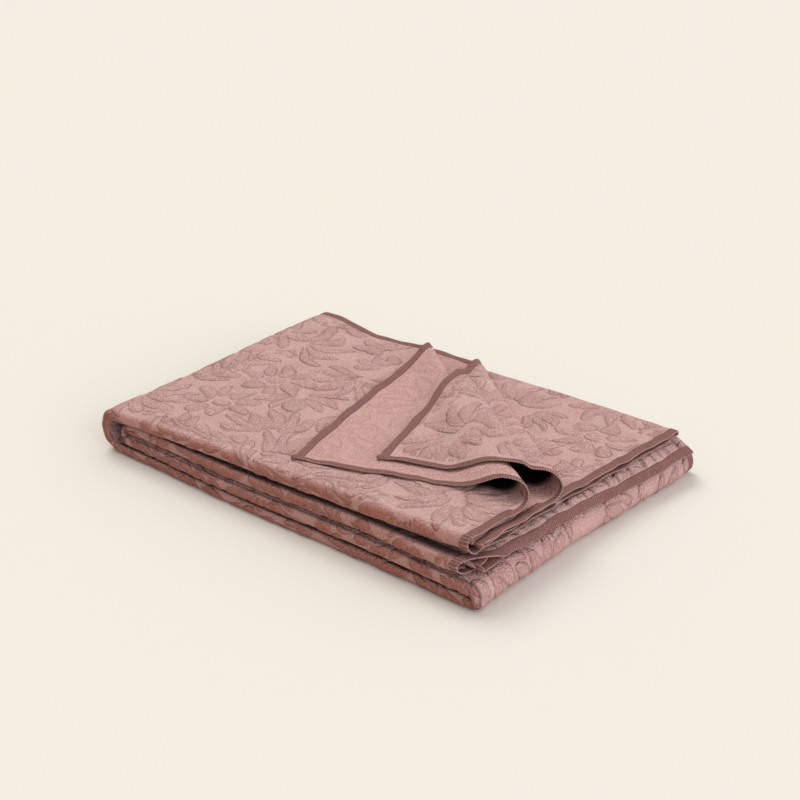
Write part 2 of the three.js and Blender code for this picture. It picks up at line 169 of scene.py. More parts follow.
def quarter_fold(station, inside, ply, lines):
    leg = np.clip(np.floor(station), 0, 6).astype(int)
    t = station - leg
    sine, cosine = np.sin(math.pi * t), np.cos(math.pi * t)

    def run(start, end, depth):
        return lerp(start, end, t), depth + 0 * t

    def turn(start, reach, middle, half, way):
        power = np.where(half > 1, fold_squareness, 1.0)
        out = np.sign(sine) * np.abs(sine) ** power
        down = np.sign(cosine) * np.abs(cosine) ** power
        return start + reach * out, middle + way * half * down

    outer_half, end_half = 2 * ply - inside, ply - inside
    legs = [
        run(lines["hem1"], lines["outer"], inside),
        turn(lines["outer"], -lines["outer_bulge"] * outer_half, 2 * ply, outer_half, -1),
        run(lines["outer"], lines["end"], 4 * ply - inside),
        turn(lines["end"], lines["end_bulge"] * end_half, 3 * ply, end_half, 1),
        run(lines["end"], lines["inner"], 2 * ply + inside),
        turn(lines["inner"], -lines["inner_bulge"] * inside, 2 * ply, inside, 1),
        run(lines["inner"], lines["hem2"], 2 * ply - inside),
    ]
    return np.choose(leg, [place for place, _ in legs]), np.choose(leg, [deep for _, deep in legs])


def width_lines(station):
    front, inset, back, hem1, hem2, bulge = (
        read_table(width_folds, station, column) for column in range(1, 7)
    )
    outer = front + 1.5 * bulge
    tight = np.minimum(bulge * 0.92, 2.75)
    return {
        "hem1": hem1, "outer": outer, "outer_bulge": bulge, "end": back, "end_bulge": tight,
        "inner": outer + inset, "inner_bulge": tight, "hem2": hem2,
    }


def length_lines(across):
    return {
        "hem1": read_table(length_folds, across, 1),
        "outer": outer_wrap["start"], "outer_bulge": outer_wrap["bulge"],
        "end": end_fold["start"], "end_bulge": end_fold["bulge"],
        "inner": inner_wrap["start"], "inner_bulge": inner_wrap["bulge"],
        "hem2": read_table(length_folds, across, 2),
    }


def end_waver(x, y, level):
    share = np.clip(x / stack_length, 0, 1)
    low = 1 - level / layers
    lean = outer_wrap["lean"] * (1 - share) ** 4 * (1 - low) ** 2
    spread = end_fold["spread"] * share**2 * low * np.clip(y / stack_width, 0, 1) ** 2
    return lerp(waves(y, low_end_waves), waves(y, high_end_waves), share) - lean + spread


def eased_over(y, reach):
    return eased((y - reach[0]) / (reach[1] - reach[0]))


def stacked(along, across):
    """Middle of the cloth in the stack, where no corner is turned back.

    The second bundle's top sheet is its longest at its end and droops over the others' hems.
    """
    y, depth = quarter_fold(across, 0.5, 1, width_lines(along))
    x, depth = quarter_fold(along, depth, plies, length_lines(across))
    level = layers - depth
    x = x + end_waver(x, y, level)
    height = height_at(level, x, y)
    run = np.where(along > 6, np.maximum(x - droop["start"], 0), 0)
    under = height_at(droop["level"], x, y) - height
    radius = np.maximum(droop["radius"] - under, droop["least_radius"])
    steepest = eased_over(y, droop_rises) * (1 - droop_eased_by * eased_over(y, droop_eases))
    angle = np.minimum(run / radius, droop["most_angle"] * steepest)
    rest = run - radius * angle
    x = x - run + radius * np.sin(angle) + rest * np.cos(angle)
    height = height - radius * (1 - np.cos(angle)) - rest * np.sin(angle)
    return np.stack([x, y, height], -1)


# Two corners of the top bundle are turned back. Each crease runs straight on the flat cloth, from
# its long edge to its end. The cloth goes round a loop there, settles behind it and lies flat.
hem_bow = 6
loop_spread = 1.35
settle_reach = 4.6
resting_gap = 3.0
cover_gap = 3.4
cover_skirt = 26
cover_blend = 3


class TurnedCorner:
    def __init__(self, hem, level, crease_back, crease_side, corner, loop_back, loop_side):
        lines, sides = length_lines(hem), width_lines(0.0)
        self.hem, self.level = hem, level
        self.loop = loop_back, loop_side
        self.edge = (lines["hem1"] - crease_back) / (lines["hem1"] - lines["outer"])
        if hem == 0:
            self.side = (sides["hem1"] - crease_side) / (sides["hem1"] - sides["outer"])
        else:
            self.side = (sides["hem2"] - crease_side) / (sides["hem2"] - sides["inner"])
        self.back = self.root(0.0)[:2]
        line = self.root(1.0)[:2] - self.back
        self.length = float(np.hypot(*line))
        self.line = line / self.length
        self.inward = np.array([self.line[1], -self.line[0]])
        self.foot = float(np.dot(corner - self.back, self.line)) / self.length
        self.reach = -float(np.dot(corner - self.back, self.inward))

    def from_hem(self, across):
        return across if self.hem == 0 else 7 - across

    def root(self, share):
        """Place on the crease, from its back end at 0 to the hem at 1."""
        away = self.side * share
        return stacked(np.asarray(self.edge * (1 - share)), away if self.hem == 0 else 7 - away)

    def beyond(self, along, across):
        """Share of the way from the crease to the corner, below 0 on the cloth that stays down."""
        return 1 - along / self.edge - self.from_hem(across) / self.side

    def on_plan(self, x, y):
        from_back = np.stack([x, y], -1) - self.back
        return from_back @ self.line / self.length, from_back @ self.inward

    def radius(self, share):
        return lerp(self.loop[0], self.loop[1], np.clip(share, 0, 1))

    def cover(self, x, y):
        """Height of the turned cloth over its own sheet, seen on the plan."""
        share, inward = self.on_plan(x, y)
        radius = self.radius(share)
        wide = radius * loop_spread
        over = lerp(2 * radius, resting_gap, eased(inward / (settle_reach * radius)))
        skirt = 2 * radius * (1 - eased((-inward - wide - resting_gap) / cover_skirt))
        return np.where(inward >= 0, over, skirt)


def loop_length(radius):
    return math.pi * radius * math.sqrt((1 + loop_spread**2) / 2)


corners = [
    TurnedCorner(0, 15.5, 141, 70, np.array([444.8, 312.3]), 4.6, 10.5),
    TurnedCorner(7, 14.5, 197, 104, np.array([472.7, 292.5]), 5.2, 12.5),
]


def turned(index, along, across):
    """Middle of the cloth past the crease of a turned corner."""
    this = corners[index]
    beyond = np.maximum(this.beyond(along, across), 0)
    share = this.from_hem(across) / this.side + beyond * this.foot
    share = np.clip(share, 0, 1)
    root = this.root(share)
    crease_share, _ = this.on_plan(root[..., 0], root[..., 1])
    radius = this.radius(crease_share)
    slope = np.minimum(share / this.foot, (1 - share) / (1 - this.foot))
    hem_share = beyond / np.maximum(slope, 1e-6)
    run = beyond * this.reach + hem_bow * np.sin(math.pi * slope) * np.clip(hem_share, 0, 1) ** 2
    arc = loop_length(radius)
    angle = math.pi * np.clip(run / arc, 0, 1)
    past = np.maximum(run - arc, 0)
    inward = past - radius * loop_spread * np.sin(angle)
    settled = lerp(2 * radius, resting_gap, eased(past / (settle_reach * radius)))
    height = np.where(run <= arc, radius * (1 - np.cos(angle)), settled)
    x = root[..., 0] + this.inward[0] * inward
    y = root[..., 1] + this.inward[1] * inward
    sheet = height_at(this.level, x, y)
    if index == 1:
        under = height_at(corners[0].level, x, y) - sheet + corners[0].cover(x, y) + cover_gap
        h = np.clip(0.5 + 0.5 * (height - under) / cover_blend, 0, 1)
        highest = lerp(under, height, h) + cover_blend * h * (1 - h)
        height = lerp(height, highest, eased(np.clip(run / arc * 2 - 1, 0, 1)))
    return np.stack([x, y, sheet + height], -1)


# Flat cloth: where each station lies on the cloth before folding, in metres
cloth_length = 1.8
cloth_width = 1.3
along_marks = np.array([0, 0.396, 0.489, 0.889, 0.924, 1.316, 1.385, 1.8])
across_marks = np.array([0, 0.3125, 0.3305, 0.6485, 0.6535, 0.9715, 0.9765, 1.3])


def flat_place(along, across):
    return np.interp(along, range(8), along_marks), np.interp(across, range(8), across_marks)


# The hems aren't straight: they wander in and out and ripple, most of all on the turned corners.
ripple_reach = 20
ripples_aside = [(0.9, 61, 0.7), (0.6, 37, 2.1), (0.35, 23, 0)]
ripples_up = [(0.6, 53, 1.9), (0.4, 31, 0)]
loose_lift = 0.8


def hem_ripple(along, across, loose):
    u, v = flat_place(along, across)
    u, v = u * 1000, v * 1000
    from_ends = np.minimum(u, cloth_length * 1000 - u)
    from_hem = np.minimum(from_ends, np.minimum(v, cloth_width * 1000 - v))
    near_hem = np.exp(-((from_hem / ripple_reach) ** 2))
    aside, lift = waves(u + v, ripples_aside), waves(u + v, ripples_up)
    near_hem = near_hem * lerp(1, 0.5, loose)
    return near_hem[..., None] * np.stack(
        [0.8 * aside, -0.6 * aside, lift * lerp(0.35, 1.2, loose) + loose_lift * loose], -1
    )


def middle(along, across):
    """Middle of the cloth in millimetres of the stack, for arrays of stations."""
    points = stacked(along, across)
    loose = np.zeros(np.shape(along))
    for index, this in enumerate(corners):
        over = (this.beyond(along, across) > 0) & (this.from_hem(across) < 1) & (along < 1)
        if over.any():
            points[over] = turned(index, along[over], across[over])
            loose[over] = eased(this.beyond(along[over], across[over]) * 3)
    return points + hem_ripple(along, across, loose)


def facing(along, across):
    """Unit normal on the pile's side of the cloth."""
    step = 2e-4
    along, across = np.clip(along, step, 7 - step), np.clip(across, step, 7 - step)
    run = middle(along + step, across) - middle(along - step, across)
    side = middle(along, across + step) - middle(along, across - step)
    normal = np.cross(run, side)
    return normal / np.linalg.norm(normal, axis=-1, keepdims=True)


# The solid stands with the centre of its box at the origin
stack_centre = np.array([225.77595901, 159.93749696, 0])


def in_frame(points):
    """Metres of the part's frame, never below the floor."""
    placed = (points - stack_centre) / 1000
    placed[..., 2] = np.maximum(placed[..., 2], 0.0001)
    return placed


# Woven design: fans of leaf blades, open flowers, leafy stems and rings of dots, scattered in a
# repeat of 360 by 325 mm, and drawn a little bent. There the pile stands up as soft pads.
repeat_u = 360
repeat_v = 325
bare_edge = 10.5

# u, v, turn, count, step, start, reach, half width, shortening, bend
blade_groups = [
    (53, 258, 10, 7, 24, 11, 60, 5.7, 0.05, 0.28),
    (242, 183, 171, 7, 23, 12, 56, 5.7, 0.05, -0.17),
    (294, 171, 123, 6, 25, 14, 52, 5.6, 0.05, -0.18),
    (89, 159, 40, 5, 28, 14, 58, 5.6, 0.05, -0.24),
    (147, 59, 291, 6, 26, 12, 57, 6.2, 0.05, 0.21),
    (10, 82, 197, 5, 28, 12, 59, 5.6, 0.05, -0.21),
    (52, 270, 179, 7, 25, 14, 56, 5.8, 0.05, -0.18),
    (253, 268, 305, 6, 23, 11, 59, 5.5, 0.05, -0.2),
    (150, 226, 335, 7, 25, 13, 57, 6.2, 0.05, -0.29),
    (225, 2, 88, 5, 23, 13, 54, 5.5, 0.05, 0.21),
    (63, 310, 79, 6, 26, 11, 58, 5.7, 0.05, -0.19),
    (219, 299, 270, 6, 24, 12, 58, 5.9, 0.05, 0.26),
    (195, 145, 228, 7, 24, 13, 56, 5.5, 0.05, 0.22),
    (267, 107, 43, 6, 25, 11, 54, 5.5, 0.05, -0.21),
    (216, 46, 87, 5, 25, 12, 55, 5.5, 0.05, 0.2),
    (118, 66, 177, 4, 34, 6, 37, 5.5, 0.06, 0.3),
    (267, 68, 358, 4, 32, 7, 36, 5.1, 0.06, 0.25),
    (9, 13, 193, 3, 31, 6, 37, 5.8, 0.06, -0.31),
    (78, 134, 234, 4, 30, 8, 37, 5.6, 0.06, -0.29),
    (127, 84, 11, 4, 32, 6, 42, 5.1, 0.06, -0.27),
    (234, 95, 36, 3, 35, 6, 36, 5.4, 0.06, -0.34),
    (118, 260, 26, 4, 33, 7, 43, 5.5, 0.06, -0.24),
    (126, 251, 259, 3, 28, 6, 42, 5.4, 0.06, -0.23),
    (289, 37, 335, 4, 34, 6, 42, 5.6, 0.06, 0.35),
    (44, 73, 76, 8, 45, 13, 38, 6.6, 0.0, 0.12),
    (328, 161, 269, 8, 45, 13, 40, 6.6, 0.0, 0.12),
    (336, 237, 237, 8, 45, 13, 38, 6.6, 0.0, 0.12),
]

# u, v, turn, half length, wave, period, half width, leaf pitch, leaf length
leafy_stems = [
    (81, 149, 309, 45, 7, 95, 1.9, 19, 16),
    (24, 164, 254, 44, 7, 95, 1.9, 19, 16),
    (291, 305, 347, 51, 7, 95, 1.9, 19, 16),
    (173, 314, 178, 53, 7, 95, 1.9, 19, 16),
]

# u, v, count, ring radius, dot radius
dot_rings = [
    (174, 81, 6, 9, 2.4),
    (0, 297, 6, 9, 2.4),
    (6, 108, 5, 8, 2.4),
    (15, 21, 6, 9, 2.4),
    (105, 306, 5, 8, 2.4),
]

# u, v, radius of a flower's middle
flower_middles = [(44, 73, 7.5), (328, 161, 7.5), (336, 237, 7.0)]

numpy_maths = {
    "SINE": np.sin,
    "COSINE": np.cos,
    "ARCTAN2": np.arctan2,
    "MINIMUM": np.minimum,
    "MAXIMUM": np.maximum,
    "ABSOLUTE": np.abs,
    "ROUND": lambda x: np.floor(x + 0.5),
    "SQRT": np.sqrt,
    "FLOORED_MODULO": np.mod,
    "POWER": np.power,
}


def maths(operation, *values):
    """One Math node's operation, on sockets of a material or on arrays."""
    for value in values:
        if isinstance(value, Level):
            return value.through(operation, *values)
    return numpy_maths[operation](*values)


def clamped(value, low, high):
    return maths("MAXIMUM", maths("MINIMUM", value, high), low)


bluntness = 0.48
leaf_start = 3
leaf_slant = 0.8


def swelling(share):
    return maths("POWER", maths("SINE", share * math.pi) + 1e-6, bluntness)


def blade_group(u, v, turn, pitch, shift, most, start, length, half, shorten, bend):
    far = maths("SQRT", u * u + v * v)
    angle = maths("ARCTAN2", v, u) + far * bend - turn + math.pi
    angle = maths("FLOORED_MODULO", angle, 2 * math.pi) - math.pi
    index = maths("ROUND", angle / pitch + shift) - shift
    index = clamped(index, 0 - most, most)
    aside = maths("ABSOLUTE", (angle - index * pitch) * far)
    length = length * (1 - shorten * maths("ABSOLUTE", index))
    share = clamped((far - start) / length, 0, 1)
    beyond = maths("ABSOLUTE", far - start - share * length)
    return half * swelling(share) - aside - beyond


def leafy_stem(u, v, cosine, sine, length, wave, rate, half, pitch, leaf):
    along = u * cosine + v * sine
    aside = maths("ABSOLUTE", v * cosine - u * sine - wave * maths("SINE", along * rate))
    beyond = maths("MAXIMUM", maths("ABSOLUTE", along) - length, 0)
    share = clamped((aside - leaf_start) / leaf, 0, 1)
    past = maths("ABSOLUTE", aside - leaf_start - share * leaf)
    lane = maths("FLOORED_MODULO", along - aside * leaf_slant, pitch) - pitch / 2
    leaves = pitch * 0.36 * swelling(share) - maths("ABSOLUTE", lane) * 0.85 - past
    return maths("MAXIMUM", half - aside, leaves) - beyond


def dot_ring(u, v, pitch, radius, dot):
    angle = maths("ARCTAN2", v, u)
    far = maths("SQRT", u * u + v * v)
    aside = (angle - maths("ROUND", angle / pitch) * pitch) * far
    out = far - radius
    return dot - maths("SQRT", aside * aside + out * out)


def flower_middle(u, v, radius):
    return radius - maths("SQRT", u * u + v * v)


# Each motif of the repeat: its shape, its place and the numbers that its shape takes
motifs = []
for u, v, turn, count, step, start, reach, half, shorten, bend in blade_groups:
    full_circle = count * step > 359
    most = 99 if full_circle else (count - 1) / 2
    turned_by, pitch, shift = math.radians(turn), math.radians(step), 0.5 * (count % 2 == 0)
    numbers = turned_by, pitch, shift, most, start, reach - start, half, shorten, bend / reach
    motifs.append((blade_group, u, v, numbers))
for u, v, turn, length, wave, period, half, pitch, leaf in leafy_stems:
    c, s = math.cos(math.radians(turn)), math.sin(math.radians(turn))
    numbers = c, s, length, wave, 2 * math.pi / period, half, pitch, leaf
    motifs.append((leafy_stem, u, v, numbers))
for u, v, count, radius, dot in dot_rings:
    motifs.append((dot_ring, u, v, (2 * math.pi / count, radius, dot)))
for u, v, radius in flower_middles:
    motifs.append((flower_middle, u, v, (radius,)))


def one_motif(shape, u, v, place_u, place_v, *numbers):
    """Distance inside a motif's outline, for the nearest of its repeats."""
    x = maths("FLOORED_MODULO", u - place_u + repeat_u / 2, repeat_u) - repeat_u / 2
    y = maths("FLOORED_MODULO", v - place_v + repeat_v / 2, repeat_v) - repeat_v / 2
    return shape(x, y, *numbers)


def woven_design(u, v):
    """Distance inside the nearest pad's outline, in millimetres, from millimetres of flat cloth.

    The pads stop short of the stitched edge.
    """
    drawn = u.nodes.shared if isinstance(u, Level) else one_motif
    bent_u = u + maths("SINE", v * 0.137 + 0.5) * 3.0 + maths("SINE", u * 0.211 + 1.1) * 1.5
    bent_v = v + maths("SINE", u * 0.121 + 1.7) * 3.0 + maths("SINE", v * 0.233 + 0.3) * 1.5
    inside = -20.0
    for shape, place_u, place_v, numbers in motifs:
        pad = drawn(shape, bent_u, bent_v, place_u, place_v, *numbers)
        inside = maths("MAXIMUM", pad, inside)
    half_u, half_v = cloth_length * 500, cloth_width * 500
    from_sides = half_v - maths("ABSOLUTE", v - half_v)
    from_ends = half_u - maths("ABSOLUTE", u - half_u)
    from_hem = maths("MINIMUM", from_sides, from_ends)
    return maths("MINIMUM", inside + 0.2, (from_hem - bare_edge) * 0.8)


class Level:
    """A number that changes over a surface, held by the socket that gives it."""

    def __init__(self, nodes, socket):
        self.nodes, self.socket = nodes, socket

    def through(self, operation, *values):
        node = self.nodes.node("ShaderNodeMath", {"operation": operation}, dict(enumerate(values)))
        return Level(self.nodes, node.outputs[0])

    def __add__(self, other):
        return self.through("ADD", self, other)

    def __radd__(self, other):
        return self.through("ADD", other, self)

    def __sub__(self, other):
        return self.through("SUBTRACT", self, other)

    def __rsub__(self, other):
        return self.through("SUBTRACT", other, self)

    def __mul__(self, other):
        return self.through("MULTIPLY", self, other)

    def __rmul__(self, other):
        return self.through("MULTIPLY", other, self)

    def __truediv__(self, other):
        return self.through("DIVIDE", self, other)


class Nodes:
    """The nodes of one tree."""

    def __init__(self, tree):
        self.tree = tree

    def node(self, kind, settings=(), sockets=()):
        node = self.tree.nodes.new(kind)
        for name, value in dict(settings).items():
            setattr(node, name, value)
        for name, value in dict(sockets).items():
            self.feed(node.inputs[name], value)
        return node

    def feed(self, socket, value):
        source = value.socket if isinstance(value, Level) else value
        if isinstance(source, bpy.types.NodeSocket):
            self.tree.links.new(source, socket)
        else:
            socket.default_value = source

    def level(self, node, output=0):
        return Level(self, node.outputs[output])

    def mix(self, share, a, b):
        node = self.node("ShaderNodeMix", {"data_type": "RGBA"}, {0: share, 6: a, 7: b})
        return node.outputs[2]

    def shared(self, shape, *values):
        """A motif by a group of nodes, made once for its shape and used with other numbers."""
        group = bpy.data.node_groups.get(shape.__name__)
        if group is None:
            group = bpy.data.node_groups.new(shape.__name__, "ShaderNodeTree")
            for index in range(len(values)):
                group.interface.new_socket(f"value_{index}", socket_type="NodeSocketFloat")
            group.interface.new_socket("inside", in_out="OUTPUT", socket_type="NodeSocketFloat")
            inner = Nodes(group)
            given = inner.node("NodeGroupInput")
            inside = one_motif(shape, *(inner.level(given, index) for index in range(len(values))))
            inner.node("NodeGroupOutput", (), {0: inside})
        used = self.node("ShaderNodeGroup", {"node_tree": group}, dict(enumerate(values)))
        return self.level(used)


class Finish(Nodes):
    """The nodes of one material."""

    def __init__(self, name, **constants):
        self.material = bpy.data.materials.new(name)
        self.material.use_nodes = True
        super().__init__(self.material.node_tree)
        self.shader = self.tree.nodes["Principled BSDF"]
        for socket, value in constants.items():
            self.shader.inputs[socket.replace("_", " ")].default_value = value

    def flat_millimetres(self):
        uv = self.node("ShaderNodeUVMap", {"uv_map": "flat"})
        split = self.node("ShaderNodeSeparateXYZ", (), {0: uv.outputs[0]})
        return uv.outputs[0], self.level(split, 0) * 1000.0, self.level(split, 1) * 1000.0

    def noise(self, vector, scale, detail=2.0):
        node = self.node(
            "ShaderNodeTexNoise", {"noise_dimensions": "3D"},
            {"Vector": vector, "Scale": scale, "Detail": detail, "Roughness": 0.55},
        )
        return self.level(node)

    def attribute(self, name):
        return self.level(self.node("ShaderNodeAttribute", {"attribute_name": name}), "Fac")

    def bump(self, height, distance, strength=1.0):
        node = self.node(
            "ShaderNodeBump", (), {"Height": height, "Distance": distance, "Strength": strength}
        )
        self.feed(self.shader.inputs["Normal"], node.outputs[0])

    def colour(self, value):
        self.feed(self.shader.inputs["Base Color"], value)


# Pile side: smooth ground, pads of short terry loops a shade deeper and pinker, sunk outlines
# darkened with painted shade.
# The fronts of the folds and the end roll are painted darker and redder as shade, and the hollows
# under the turned corners and the grooves between the folds, which get almost no light, are painted
# near black as shade.
ground_colour = (0.622, 0.421, 0.380, 1)
pad_colour = (0.682, 0.449, 0.414, 1)
loop_shade = (0.440, 0.225, 0.200, 1)
outline_shade_colour = (0.250, 0.115, 0.100, 1)
fold_shade_colour = (0.350, 0.108, 0.068, 1)
hollow_shade_colour = (0.020, 0.009, 0.008, 1)
cloth_pile = Finish("terry_pile_side", Roughness=0.95, Specular_IOR_Level=0.04)
flat, u, v = cloth_pile.flat_millimetres()
stray = cloth_pile.noise(flat, 300.0)
loops = clamped(cloth_pile.noise(flat, 440.0, 1.0) * 4.0 - 1.5, 0, 1)
tone = cloth_pile.noise(flat, 34.0)
fold_shade = cloth_pile.attribute("fold_shade")
inside = woven_design(u, v) + (stray - 0.5) * 3.2
pad = clamped(inside * 0.4 + 0.45, 0, 1)
dome = clamped(inside * 0.22, 0, 1)
# Sunk outlines of the pads: painted shade in the colour, deeper on the fronts of the folds, and a
# dip in the bump
outline = clamped(1 - maths("ABSOLUTE", inside + 0.8) * 0.8, 0, 1)
outline = outline * clamped(tone * 3.0 - 1.0, 0.1, 1)
fabric = cloth_pile.mix(pad, ground_colour, pad_colour)
fabric = cloth_pile.mix((1 - loops) * (pad * 0.18 + 0.40), fabric, loop_shade)
fabric = cloth_pile.mix(clamped(tone * 1.2 - 0.5, 0, 0.3), fabric, loop_shade)
# Painted shade: the fronts of the folds and the end roll darker and redder
fabric = cloth_pile.mix(fold_shade * (pad * 0.36 + 0.46), fabric, fold_shade_colour)
fabric = cloth_pile.mix(outline * (fold_shade * 0.25 + 0.58), fabric, outline_shade_colour)
# Painted shade: the hollows, grooves and gathers near black
fabric = cloth_pile.mix(cloth_pile.attribute("deep"), fabric, hollow_shade_colour)
cloth_pile.colour(fabric)
cloth_pile.bump(pad * 0.6 + dome * 0.4 - outline * 0.2 + loops * (0.32 + pad * 0.32), 0.0020, 1.0)

# Back of the cloth: closely woven, with the design showing through faintly and fine dots of weave.
back_colour = (0.600, 0.385, 0.345, 1)
weave_pitch = 2.6
cloth_back = Finish("woven_back", Roughness=0.92, Specular_IOR_Level=0.04)
flat, u, v = cloth_back.flat_millimetres()
stray = cloth_back.noise(flat, 260.0)
grain = cloth_back.noise(flat, 460.0, 1.0)
tone = cloth_back.noise(flat, 22.0)
weave_rate = 2 * math.pi / weave_pitch
weave = maths("SINE", u * weave_rate) * maths("SINE", v * weave_rate)
ghost = clamped(1 - maths("ABSOLUTE", woven_design(u, v) + (stray - 0.5) * 4) * 0.3, 0, 1)
fabric = cloth_back.mix(tone * 0.5, back_colour, pad_colour)
fabric = cloth_back.mix(clamped(weave * 0.34 + grain * 2.6 - 1.08, 0, 1), fabric, loop_shade)
fabric = cloth_back.mix(ghost * 0.3, fabric, loop_shade)
# Painted shade: the hollows of the turned corners near black on this side too
fabric = cloth_back.mix(cloth_back.attribute("deep"), fabric, hollow_shade_colour)
cloth_back.colour(fabric)
cloth_back.bump(weave * 0.2 + grain * 0.7 + stray * 0.5 - ghost * 0.7, 0.0012, 1.0)

# The cloth's mesh starts as a flat grid of stations with a thin wall, is cut finer where the
# cloth shows, and is then laid into its folds with its pads raised.
ground_half = 0.6
pad_height = 1.0
back_sink = 0.12


def stations(runs, folds):
    marks = []
    for leg in range(7):
        steps = folds[leg // 2] if leg % 2 else runs
        marks += [leg + step / steps for step in range(steps)]
    return np.array(marks + [7.0])


along_stations = stations(30, [8, 5, 6])
across_stations = stations(22, [8, 5, 5])
cloth = bmesh.new()
bmesh.ops.create_grid(
    cloth, x_segments=len(along_stations) - 1, y_segments=len(across_stations) - 1, size=0.5
)
for vert in cloth.verts:
    vert.co.x = along_stations[round((vert.co.x + 0.5) * (len(along_stations) - 1))]
    vert.co.y = across_stations[round((vert.co.y + 0.5) * (len(across_stations) - 1))]
bmesh.ops.recalc_face_normals(cloth, faces=cloth.faces)
if cloth.faces[0].normal.z < 0:
    bmesh.ops.reverse_faces(cloth, faces=cloth.faces)
wall = 0.01
bmesh.ops.solidify(cloth, geom=cloth.faces, thickness=wall)
low = min(vert.co.z for vert in cloth.verts)


end_shown = 6.86
mouth_slant = 0.6
mouth_margin = 0.1


def shows(face):
    """Which edges of a face of the flat grid are cut finer: all, lengthwise ones or none."""
    spot = face.calc_center_median()
    near_first, near_second = (float(this.beyond(spot.x, spot.y)) for this in corners)
    if abs(face.normal.z) < 0.5:
        return []
    in_loop = spot.x < 1 and (
        (spot.y < 1 and near_first > -0.1) or (spot.y > 6 and near_second > -0.1)
    )
    if in_loop:
        return list(face.edges)
    if face.normal.z < 0:
        return []
    if spot.y < 1 and not 2 < spot.x < 3 and spot.x < 4:
        return list(face.edges)
    if 2 < spot.y < 3 and spot.x > end_shown:
        return list(face.edges)
    mouth = corners[1].edge * (1 - (5 - spot.y) * mouth_slant) + mouth_margin
    if 4 < spot.y < 5 and spot.x < mouth:
        return list(face.edges)
    if 0.9 < spot.y < 2.1:
        return [edge for edge in face.edges if abs(edge.verts[0].co.y - edge.verts[1].co.y) < 1e-6]
    return []


finer = dict.fromkeys(edge for face in cloth.faces for edge in shows(face))
bmesh.ops.subdivide_edges(cloth, edges=list(finer), cuts=4, use_grid_fill=True)
bmesh.ops.triangulate(cloth, faces=[face for face in cloth.faces if len(face.verts) > 4])
for face in cloth.faces:
    face.smooth = True
    face.material_index = 0 if face.calc_center_median().z > low + wall * 0.75 else 1

flat_spots = np.array([vert.co for vert in cloth.verts])
along, across = flat_spots[:, 0], flat_spots[:, 1]
on_pile = flat_spots[:, 2] > low + wall / 2
points, normals = middle(along, across), facing(along, across)
u, v = flat_place(along, across)
pads = np.clip(woven_design(u * 1000, v * 1000) * 0.45 + 0.25, 0, 1)
pads = pads * pads * (3 - 2 * pads)

# Free cloth has full pads, and cloth pressed between layers has flat ones
free = np.where((across <= 1) & ((along <= 2) | ((along > 3) & (along < 4))), 1.0, 0.0)
for this in corners:
    free = np.where((this.beyond(along, across) > 0) & (along < 1), 1.0, free)
free = np.where((across > 2) & (across < 3) & (along > 6.9), 1.0, free)
round_front = np.where((across > 1) & (across < 2), np.sin(math.pi * (across - 1)), 0)
free = np.maximum(free, round_front)
open_share, open_side = corners[1].on_plan(points[:, 0], points[:, 1])
uncovered = (across > 4) & (across < 5) & (along < 1)
free = np.where(uncovered, np.clip((-open_side - 4) / 12, 0, 1), free)
relief = pads * pad_height * (0.3 + 0.7 * free)

# The drooping sheet is gathered a little above its stitched edge
gather_depth = 0.9
gather_from, gather_to = 7, 16
from_end = (7 - along) * (along_marks[7] - along_marks[6]) * 1000
gather = np.clip(np.sin(v * 1000 / 2.3 + 2 * np.sin(v * 1000 / 9.7)), 0, 1) ** 4
gather = gather * eased((from_end - gather_from) / 4)
gather = gather * (1 - eased((from_end - gather_to) / 10))
gather = np.where((across > 2.03) & (across < 3) & (along > 6) & on_pile, gather, 0)
relief = relief - gather_depth * gather

# Painted shade, up to near black, where the cloth gets almost no light: inside the hollows of the
# turned corners, some way behind their mouths, in the grooves between the front folds, in the
# gathers of the drooping sheet and on the sheet just beside the second turned corner's loop
hollow_start = 4
hollow_blend = 12
groove_width = 0.12
deep = 0.6 * gather
first_over, second_over = (
    (this.beyond(along, across) > 0) & (this.from_hem(across) < 1) & (along < 1) for this in corners
)
in_first = (first_over & on_pile) | (~first_over & (across < 1) & (along < 1) & on_pile)
in_second = (second_over & ~on_pile) | (~second_over & (across > 6) & (along < 1) & ~on_pile)
in_second |= first_over & ~on_pile
for this, hollow in zip(corners, (in_first, in_second)):
    share, inward = this.on_plan(points[:, 0], points[:, 1])
    radius = this.radius(share)
    run = np.maximum(inward, 0) + loop_length(radius)
    side = (1 - share) * this.length, (1 - this.foot) * this.length
    behind = (side[0] * this.reach - run * side[1]) / math.hypot(side[1], this.reach)
    side = share * this.length, this.foot * this.length
    covered = (side[0] * this.reach - run * side[1]) / math.hypot(side[1], this.reach)
    dark = eased((behind - hollow_start) / hollow_blend)
    dark = dark * eased((covered - hollow_start) / hollow_blend)
    mouth = inward > -radius * loop_spread - 2
    deep = np.maximum(deep, np.where(hollow & mouth, dark, 0))
turn = np.clip(across - 1, 0, 1)
groove = eased((turn - 0.8) / groove_width) + eased((0.2 - turn) / groove_width) * (along > 3)
groove = groove * np.where((along > 1) & (along < 2), 0.3, 1)
deep = np.maximum(deep, np.where((across > 1) & (across < 2.02), groove * 0.9, 0))
# Painted shade on the uncovered sheet just beside the second turned corner's loop
beside = -open_side - corners[1].radius(open_share) * loop_spread - 1
deep = np.maximum(deep, np.where(uncovered, 0.45 * np.exp(-((beside / 4.5) ** 2)), 0))
shift = np.where(on_pile, ground_half + relief, -ground_half - back_sink * pads)
placed = in_frame(points + normals * shift[:, None])
for vert, spot in zip(cloth.verts, placed):
    vert.co = spot

